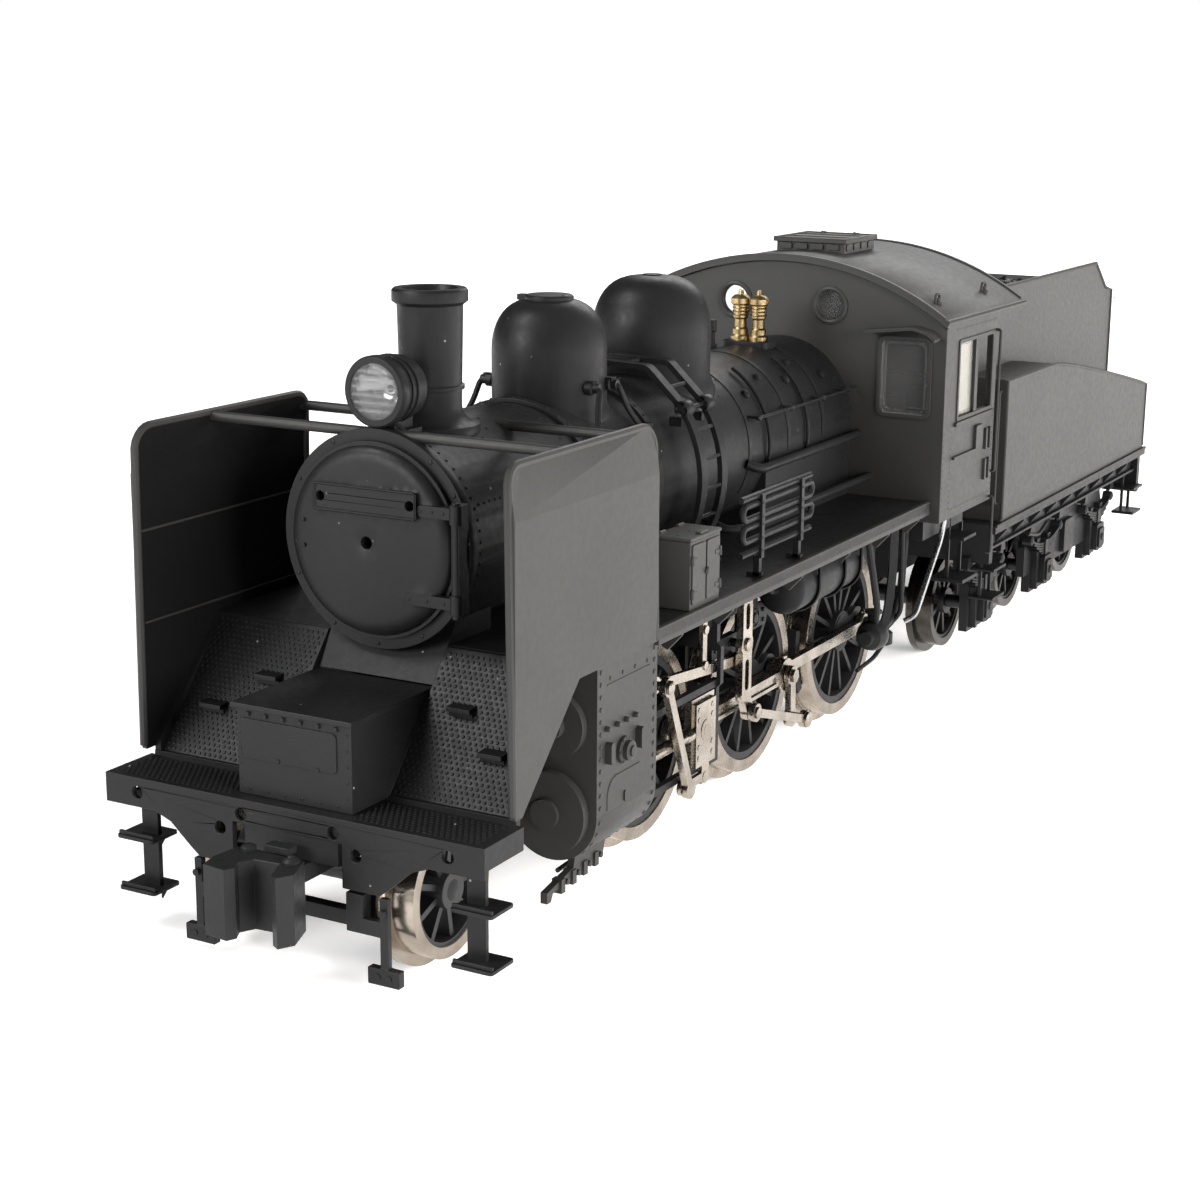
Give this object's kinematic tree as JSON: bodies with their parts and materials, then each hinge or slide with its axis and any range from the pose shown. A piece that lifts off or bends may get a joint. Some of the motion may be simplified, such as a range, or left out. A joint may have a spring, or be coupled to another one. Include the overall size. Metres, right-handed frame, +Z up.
{
  "type": "model steam locomotive",
  "caption": "Tender steam locomotive model with spoked driving wheels, outside cylinders and valve gear, smoke deflectors, domed boiler, arched cab roof and swivelling trucks.",
  "frame": {"origin": "centre of the overall box on the floor, under the wheel flanges", "axes": "+Y from the front coupler to the tender's rear coupler, +X to the engine's left side, +Z up"},
  "size_m": [0.0368, 0.1802, 0.0497],
  "materials": {
    "zinc_frame": "matte",
    "steel": "satin",
    "motor_can": "satin",
    "brass": "polished",
    "lead_weight": "matte",
    "black_plastic": "satin",
    "deflector_plastic": "satin",
    "frame_plastic": "matte",
    "wheel_plastic": "matte",
    "coupler_plastic": "satin",
    "nickel_tyre": "polished",
    "nickel_rod": "polished",
    "lens": "clear",
    "coal": "rough"
  },
  "bodies": {
    "engine": {"chassis": "zinc_frame", "keeper_plate": "zinc_frame", "keeper_screws": "steel", "motor": "motor_can", "ballast_weight": "lead_weight", "buffer_beam": "black_plastic", "front_deck": "black_plastic", "cylinder_lid_box": "black_plastic", "smokebox": "black_plastic", "smokebox_door": "black_plastic", "headlight": "black_plastic", "headlight_lens": "lens", "chimney": "black_plastic", "boiler": "black_plastic", "sand_dome": "black_plastic", "steam_dome": "black_plastic", "running_boards": "black_plastic", "left_deflector": "deflector_plastic", "right_deflector": "deflector_plastic", "toolbox": "black_plastic", "air_tanks": "black_plastic", "left_cylinder": "black_plastic", "right_cylinder": "black_plastic", "motion_brackets": "frame_plastic", "radius_rods": "nickel_rod", "cab_body": "black_plastic", "cab_roof": "black_plastic"},
    "worm": {"worm_shaft": "steel"},
    "driving_wheelset_1": {"wheels_1": "wheel_plastic", "tyres_1": "nickel_tyre"},
    "driving_wheelset_2": {"wheels_2": "wheel_plastic", "tyres_2": "nickel_tyre", "drive_gear": "brass", "return_cranks": "nickel_rod"},
    "driving_wheelset_3": {"wheels_3": "wheel_plastic", "tyres_3": "nickel_tyre"},
    "left_coupling_rod_body": {"left_coupling_rod": "nickel_rod"},
    "left_main_rod_body": {"left_main_rod": "nickel_rod"},
    "left_crosshead_body": {"left_crosshead": "nickel_rod"},
    "left_combination_lever_body": {"left_combination_lever": "nickel_rod"},
    "left_expansion_link_body": {"left_expansion_link": "nickel_rod"},
    "left_eccentric_rod_body": {"left_eccentric_rod": "nickel_rod"},
    "right_coupling_rod_body": {"right_coupling_rod": "nickel_rod"},
    "right_main_rod_body": {"right_main_rod": "nickel_rod"},
    "right_crosshead_body": {"right_crosshead": "nickel_rod"},
    "right_combination_lever_body": {"right_combination_lever": "nickel_rod"},
    "right_expansion_link_body": {"right_expansion_link": "nickel_rod"},
    "right_eccentric_rod_body": {"right_eccentric_rod": "nickel_rod"},
    "pony_truck_body": {"pony_truck": "frame_plastic"},
    "pony_wheelset": {"pony_wheels": "nickel_tyre"},
    "front_coupler_body": {"front_coupler": "coupler_plastic"},
    "drawbar_body": {"drawbar": "steel"},
    "tender": {"tender_frame": "frame_plastic", "tender_tank": "black_plastic", "coal_load": "coal"},
    "tender_wheelset_1": {"tender_wheels_1": "nickel_tyre"},
    "tender_bogie_body": {"tender_bogie": "frame_plastic"},
    "tender_wheelset_2": {"tender_wheels_2": "nickel_tyre"},
    "tender_wheelset_3": {"tender_wheels_3": "nickel_tyre"},
    "rear_coupler_body": {"rear_coupler": "coupler_plastic"}
  },
  "joints": [
    {"name": "drive", "type": "hinge", "parent": "engine", "child": "driving_wheelset_2", "pos_m": [0, -0.0244, 0.00965], "axis": [1, 0, 0], "continuous": true},
    {"name": "wheelset_1_spin", "type": "hinge", "parent": "engine", "child": "driving_wheelset_1", "pos_m": [0, -0.0463, 0.00965], "axis": [1, 0, 0], "continuous": true},
    {"name": "wheelset_3_spin", "type": "hinge", "parent": "engine", "child": "driving_wheelset_3", "pos_m": [0, -0.0025, 0.00965], "axis": [1, 0, 0], "continuous": true},
    {"name": "worm_spin", "type": "hinge", "parent": "engine", "child": "worm", "pos_m": [0, -0.0244, 0.0181], "axis": [0, 1, 0], "continuous": true},
    {"name": "left_coupling_rod_pin", "type": "hinge", "parent": "driving_wheelset_2", "child": "left_coupling_rod_body", "pos_m": [0.0107, -0.0206, 0.00965], "axis": [1, 0, 0], "continuous": true},
    {"name": "left_main_rod_pin", "type": "hinge", "parent": "driving_wheelset_2", "child": "left_main_rod_body", "pos_m": [0.0116, -0.0206, 0.00965], "axis": [1, 0, 0], "continuous": true},
    {"name": "right_coupling_rod_pin", "type": "hinge", "parent": "driving_wheelset_2", "child": "right_coupling_rod_body", "pos_m": [-0.0107, -0.0244, 0.01345], "axis": [1, 0, 0], "continuous": true},
    {"name": "right_main_rod_pin", "type": "hinge", "parent": "driving_wheelset_2", "child": "right_main_rod_body", "pos_m": [-0.0116, -0.0244, 0.01345], "axis": [1, 0, 0], "continuous": true},
    {"name": "left_crosshead_slide", "type": "slide", "parent": "engine", "child": "left_crosshead_body", "axis": [0, -1, 0], "range_m": [0, 0.0076]},
    {"name": "left_combination_lever_pin", "type": "hinge", "parent": "engine", "child": "left_combination_lever_body", "pos_m": [0.0136, -0.049, 0.0157], "axis": [1, 0, 0], "range_deg": [-40.89, 0.5]},
    {"name": "left_expansion_link_pin", "type": "hinge", "parent": "engine", "child": "left_expansion_link_body", "pos_m": [0.01315, -0.0329, 0.0157], "axis": [1, 0, 0], "range_deg": [-14, 14]},
    {"name": "left_eccentric_rod_pin", "type": "hinge", "parent": "left_expansion_link_body", "child": "left_eccentric_rod_body", "pos_m": [0.0139, -0.0319, 0.0091], "axis": [1, 0, 0], "range_deg": [-15, 15]},
    {"name": "right_crosshead_slide", "type": "slide", "parent": "engine", "child": "right_crosshead_body", "axis": [0, -1, 0], "range_m": [-0.00343, 0.00417]},
    {"name": "right_combination_lever_pin", "type": "hinge", "parent": "engine", "child": "right_combination_lever_body", "pos_m": [-0.0136, -0.049, 0.0157], "axis": [1, 0, 0], "range_deg": [-22.64, 18.75]},
    {"name": "right_expansion_link_pin", "type": "hinge", "parent": "engine", "child": "right_expansion_link_body", "pos_m": [-0.01315, -0.0329, 0.0157], "axis": [1, 0, 0], "range_deg": [-14, 14]},
    {"name": "right_eccentric_rod_pin", "type": "hinge", "parent": "right_expansion_link_body", "child": "right_eccentric_rod_body", "pos_m": [-0.0139, -0.03135, 0.0091], "axis": [1, 0, 0], "range_deg": [-15, 15]},
    {"name": "pony_truck_swivel", "type": "hinge", "parent": "engine", "child": "pony_truck_body", "pos_m": [0, -0.0599, 0.0065], "axis": [0, 0, 1], "range_deg": [-3.5, 3.5]},
    {"name": "pony_wheels_spin", "type": "hinge", "parent": "pony_truck_body", "child": "pony_wheelset", "pos_m": [0, -0.0767, 0.0062], "axis": [1, 0, 0], "continuous": true},
    {"name": "front_coupler_swing", "type": "hinge", "parent": "engine", "child": "front_coupler_body", "pos_m": [0, -0.0801, 0.0083], "axis": [0, 0, 1], "range_deg": [-12, 12]},
    {"name": "drawbar_swivel", "type": "hinge", "parent": "engine", "child": "drawbar_body", "pos_m": [0, 0.0121, 0.0068], "axis": [0, 0, 1], "range_deg": [-8, 8]},
    {"name": "tender_swivel", "type": "hinge", "parent": "drawbar_body", "child": "tender", "pos_m": [0, 0.0255, 0.0068], "axis": [0, 0, 1], "range_deg": [-8, 8]},
    {"name": "tender_wheels_1_spin", "type": "hinge", "parent": "tender", "child": "tender_wheelset_1", "pos_m": [0, 0.0291, 0.0062], "axis": [1, 0, 0], "continuous": true},
    {"name": "tender_bogie_swivel", "type": "hinge", "parent": "tender", "child": "tender_bogie_body", "pos_m": [0, 0.0621, 0.0079], "axis": [0, 0, 1], "range_deg": [-6, 6]},
    {"name": "tender_wheels_2_spin", "type": "hinge", "parent": "tender_bogie_body", "child": "tender_wheelset_2", "pos_m": [0, 0.0511, 0.0062], "axis": [1, 0, 0], "continuous": true},
    {"name": "tender_wheels_3_spin", "type": "hinge", "parent": "tender_bogie_body", "child": "tender_wheelset_3", "pos_m": [0, 0.0731, 0.0062], "axis": [1, 0, 0], "continuous": true},
    {"name": "rear_coupler_swing", "type": "hinge", "parent": "tender", "child": "rear_coupler_body", "pos_m": [0, 0.0801, 0.0083], "axis": [0, 0, 1], "range_deg": [-12, 12]}
  ],
  "couplings": [
    {"joint": "wheelset_1_spin", "follows": "drive", "ratio": 1},
    {"joint": "wheelset_3_spin", "follows": "drive", "ratio": 1},
    {"joint": "worm_spin", "follows": "drive", "ratio": 24},
    {"joint": "left_coupling_rod_pin", "follows": "drive", "ratio": -1},
    {"joint": "left_main_rod_pin", "follows": "drive", "ratio": -1},
    {"joint": "right_coupling_rod_pin", "follows": "drive", "ratio": -1},
    {"joint": "right_main_rod_pin", "follows": "drive", "ratio": -1},
    {"joint": "left_combination_lever_pin", "follows": "left_crosshead_slide", "rad_per_m": -92.756},
    {"joint": "left_eccentric_rod_pin", "follows": "left_expansion_link_pin", "ratio": -1},
    {"joint": "right_combination_lever_pin", "follows": "right_crosshead_slide", "rad_per_m": -92.756},
    {"joint": "right_eccentric_rod_pin", "follows": "right_expansion_link_pin", "ratio": -1}
  ]
}
